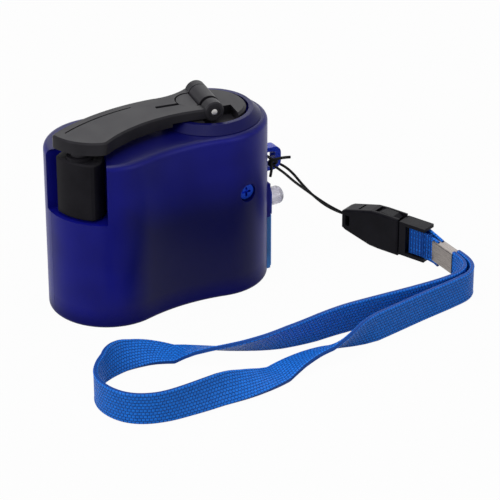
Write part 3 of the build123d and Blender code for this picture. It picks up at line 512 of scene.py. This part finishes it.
# ---------------------------------------------------------------- wrist strap
STRAP_WIDTH, STRAP_THICK = 8.4 * MM, 1.2 * MM
FLOOR_GAP = 0.05 * MM
STRAP_ROUTE = [
    (70.1, -38.2), (70.2, -43.2), (67.0, -47.6), (60.5, -48.9), (50.0, -48.7), (38.5, -47.9), (27.5, -47.3),
    (16.5, -48.2), (6.5, -47.4), (-2.0, -44.0), (-9.5, -39.2), (-16.0, -34.6), (-22.5, -32.4), (-31.0, -33.6),
    (-38.8, -38.2),
    (-43.8, -44.6), (-44.3, -51.6), (-41.2, -58.2), (-34.4, -61.8), (-25.0, -62.1), (-14.0, -61.2), (-3.0, -59.3),
    (7.0, -56.4), (15.0, -55.4), (22.5, -56.6), (31.0, -56.0), (40.5, -54.4), (50.5, -52.6), (60.5, -51.2),
    (68.2, -49.6), (71.9, -44.0), (71.6, -38.2),
]
# how far the strap is turned about its line, in degrees, at each length along it in mm: two half twists
STRAP_LEAN = [
    (0, 0), (48, 0), (57, 6), (67, 22), (72.5, 35), (78, 47), (86, 62), (90, 71), (95, 88), (100, 102),
    (106, 122), (112, 150), (119, 178), (150, 184), (158, 192), (167, 206), (176, 240), (183.5, 262), (187, 270),
    (193, 283), (199, 292),
    (203.5, 298), (208, 318), (212, 338), (215, 350), (219, 360), (300, 360),
]


def band_mesh(name, line, width, thick, lean_keys, on_floor):
    """A flat woven band with thick edges along the line, turned about it by the lean at each place.

    A band on the floor is raised at each place until its lower edge just clears it.
    """
    mesh = bpy.data.meshes.new(name)
    form = bmesh.new()
    uv_layer = form.loops.layers.uv.new("weave")
    along = lengths_along(line)
    across = [(-0.5, -0.22), (-0.485, -0.42), (-0.45, -0.5), (-0.40, -0.44), (0, -0.44), (0.40, -0.44), (0.45, -0.5),
              (0.485, -0.42), (0.5, -0.22), (0.5, 0.22), (0.485, 0.42), (0.45, 0.5), (0.40, 0.44), (0, 0.44),
              (-0.40, 0.44), (-0.45, 0.5), (-0.485, 0.42), (-0.5, 0.22)]
    rings = []
    for i, spot in enumerate(line):
        ahead = (line[min(i + 1, len(line) - 1)] - line[max(i - 1, 0)]).normalized()
        side = Vector((0, 0, 1)).cross(ahead).normalized()
        lean = math.radians(blend_keys(lean_keys, along[i] / MM))
        width_dir = Vector((0, 0, 1)) * math.cos(lean) + side * math.sin(lean)
        thick_dir = ahead.cross(width_dir)
        middle = spot.copy()
        if on_floor:
            middle.z = abs(math.cos(lean)) * width / 2 + abs(math.sin(lean)) * thick / 2 + FLOOR_GAP
        rings.append([form.verts.new(middle + width_dir * u * width + thick_dir * v * thick) for u, v in across])
    for i, (a, b) in enumerate(zip(rings, rings[1:])):
        for j in range(len(across)):
            k = (j + 1) % len(across)
            face = form.faces.new((a[j], a[k], b[k], b[j]))
            face.smooth = True
            for loop, (row, col) in zip(face.loops, ((i, j), (i, j + 1), (i + 1, j + 1), (i + 1, j))):
                u = across[col % len(across)][0]
                loop[uv_layer].uv = (along[row] / MM, u * width / MM)
    form.faces.new(rings[0][::-1])
    form.faces.new(rings[-1])
    bmesh.ops.recalc_face_normals(form, faces=form.faces)
    form.to_mesh(mesh)
    form.free()
    return mesh


strap_line = spline_line([mm(x, y, 4.25) for x, y in STRAP_ROUTE], 14)
strap_mesh = band_mesh("wrist_webbing", strap_line, STRAP_WIDTH, STRAP_THICK, STRAP_LEAN, True)
strap = new_piece("wrist_webbing", strap_mesh, "strap_end", webbing_blue)
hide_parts("wrist_strap")


# ---------------------------------------------------------------- webbing folded round the buckle's bar
BUCKLE_AT, BUCKLE_TURN = mm(59.9, -0.8, 5.7), math.radians(-68.7)
buckle_along = Vector((math.cos(BUCKLE_TURN), math.sin(BUCKLE_TURN), 0))
buckle_out = Vector((-math.sin(BUCKLE_TURN), math.cos(BUCKLE_TURN), 0))


def on_buckle(along, out):
    """A place by its distance along the buckle and out from its middle plane, in mm."""
    return BUCKLE_AT + buckle_along * along * MM + buckle_out * out * MM


def make_fold():
    """The strap's end folded round the bar, with the ribs that its tight weave shows there."""
    near = [mm(70.15, -31.0, 4.3), mm(70.1, -29.3, 4.5)]
    far = [mm(71.6, -29.3, 4.5), mm(71.55, -31.0, 4.3)]
    round_bar = [on_buckle(along, out) for along, out in (
        (26.4, -1.45), (24.2, -1.45), (22.7, -1.42), (22.2, -0.9),
        (22.2, 0.9), (22.7, 1.42), (24.2, 1.45), (26.4, 1.45))]
    fold = band_mesh("bar_fold", near + round_bar + far, 7.6 * MM, 0.9 * MM, [(0, 0), (100, 0)], False)
    rib = soft_bar("rib", (0.5, 0.5, 7.5), 0.2)
    rib.transform(Matrix.Rotation(BUCKLE_TURN, 4, "Z"))
    pitch, proud = 0.92 * MM, 1.78
    ribs = [row_of("fold_ribs", rib, webbing_blue, 5, on_buckle(22.7, out), buckle_along * pitch)
            for out in (-proud, proud)]
    # four more ribs on the near side, where the webbing bends towards the crimp
    bend_start = on_buckle(27.0, -1.75)
    ribs.append(row_of("fold_ribs", rib, webbing_blue, 4, bend_start, (mm(69.75, -29.0, 5.7) - bend_start) / 4))
    made = joined("strap_fold_band", [fold] + ribs)
    piece = new_piece("strap_fold_band", made, "strap_end", webbing_blue)
    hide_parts("strap_fold")


make_fold()


# ---------------------------------------------------------------- stage and light
FLOOR_Z = -0.1  # in mm, a hair under the base, so that the two faces don't share one plane
WHITE_SHARE = 0.97  # how much of the floor is plain white to the eye; the rest is paper that takes the shadow


def flat_stage():
    """White paper that keeps a soft shadow."""
    mesh = bpy.data.meshes.new("floor")
    form = bmesh.new()
    bmesh.ops.create_grid(form, x_segments=1, y_segments=1, size=6.0)
    bmesh.ops.translate(form, vec=mm(0, 0, FLOOR_Z), verts=form.verts)
    form.to_mesh(mesh)
    form.free()
    floor = bpy.data.objects.new("floor", mesh)
    scene.collection.objects.link(floor)
    material, tree = start_material("white paper floor")
    paper = add(tree, "ShaderNodeBsdfDiffuse", {"Color": linear("#a0a0a0")})
    white = add(tree, "ShaderNodeEmission", {"Color": linear("#ffffff"), "Strength": 1.0})
    share = add(tree, "ShaderNodeMath", {0: seen_directly(tree), 1: WHITE_SHARE}, operation="MULTIPLY")
    mix = add(tree, "ShaderNodeMixShader", {0: share.outputs[0], 1: paper.outputs[0], 2: white.outputs[0]})
    add(tree, "ShaderNodeOutputMaterial", {"Surface": mix.outputs[0]})
    mesh.materials.append(material)


def seen_directly(tree):
    """1 for rays from the camera, a reflection or clear plastic, and 0 for the light that falls on the object."""
    path = add(tree, "ShaderNodeLightPath")
    first = add(tree, "ShaderNodeMath", {0: path.outputs["Is Camera Ray"], 1: path.outputs["Is Glossy Ray"]},
                operation="MAXIMUM")
    both = add(tree, "ShaderNodeMath", {0: first.outputs[0], 1: path.outputs["Is Transmission Ray"]},
               operation="MAXIMUM")
    return both.outputs[0]


def soft_light(name, at, towards, size, power):
    """A large soft lamp, aimed at a place; in metres and watts."""
    lamp = bpy.data.lights.new(name, "AREA")
    lamp.shape = "RECTANGLE"
    lamp.size, lamp.size_y = size
    lamp.energy = power
    holder = bpy.data.objects.new(name, lamp)
    scene.collection.objects.link(holder)
    holder.location = at
    holder.rotation_euler = (Vector(towards) - Vector(at)).to_track_quat("-Z", "Y").to_euler()


def white_world():
    """Even white light all round, seen as plain white but falling on the object at a lower level."""
    world = bpy.data.worlds.new("studio")
    scene.world = world
    world.use_nodes = True
    tree = world.node_tree
    tree.nodes.clear()
    around = add(tree, "ShaderNodeBackground", {"Color": linear("#ffffff"), "Strength": 0.35})
    seen = add(tree, "ShaderNodeBackground", {"Color": linear("#ffffff"), "Strength": 1.0})
    mix = add(tree, "ShaderNodeMixShader", {0: seen_directly(tree), 1: around.outputs[0], 2: seen.outputs[0]})
    add(tree, "ShaderNodeOutputWorld", {"Surface": mix.outputs[0]})


flat_stage()
white_world()
soft_light("key", (-0.95, -0.2, 0.5), (0.0, -0.02, 0.02), (0.6, 0.6), 6.0)
soft_light("front", (0.45, -1.0, 0.45), (0.02, -0.02, 0.02), (0.7, 0.7), 2.6)
soft_light("back", (0.62, 1.05, 0.68), (0.0, -0.02, 0.02), (1.3, 0.6), 2.4)
soft_light("top", (0.0, 0.1, 1.1), (0.02, -0.02, 0.02), (0.8, 0.8), 8.0)
scene.view_settings.view_transform = "Standard"

bpy.context.view_layer.update()
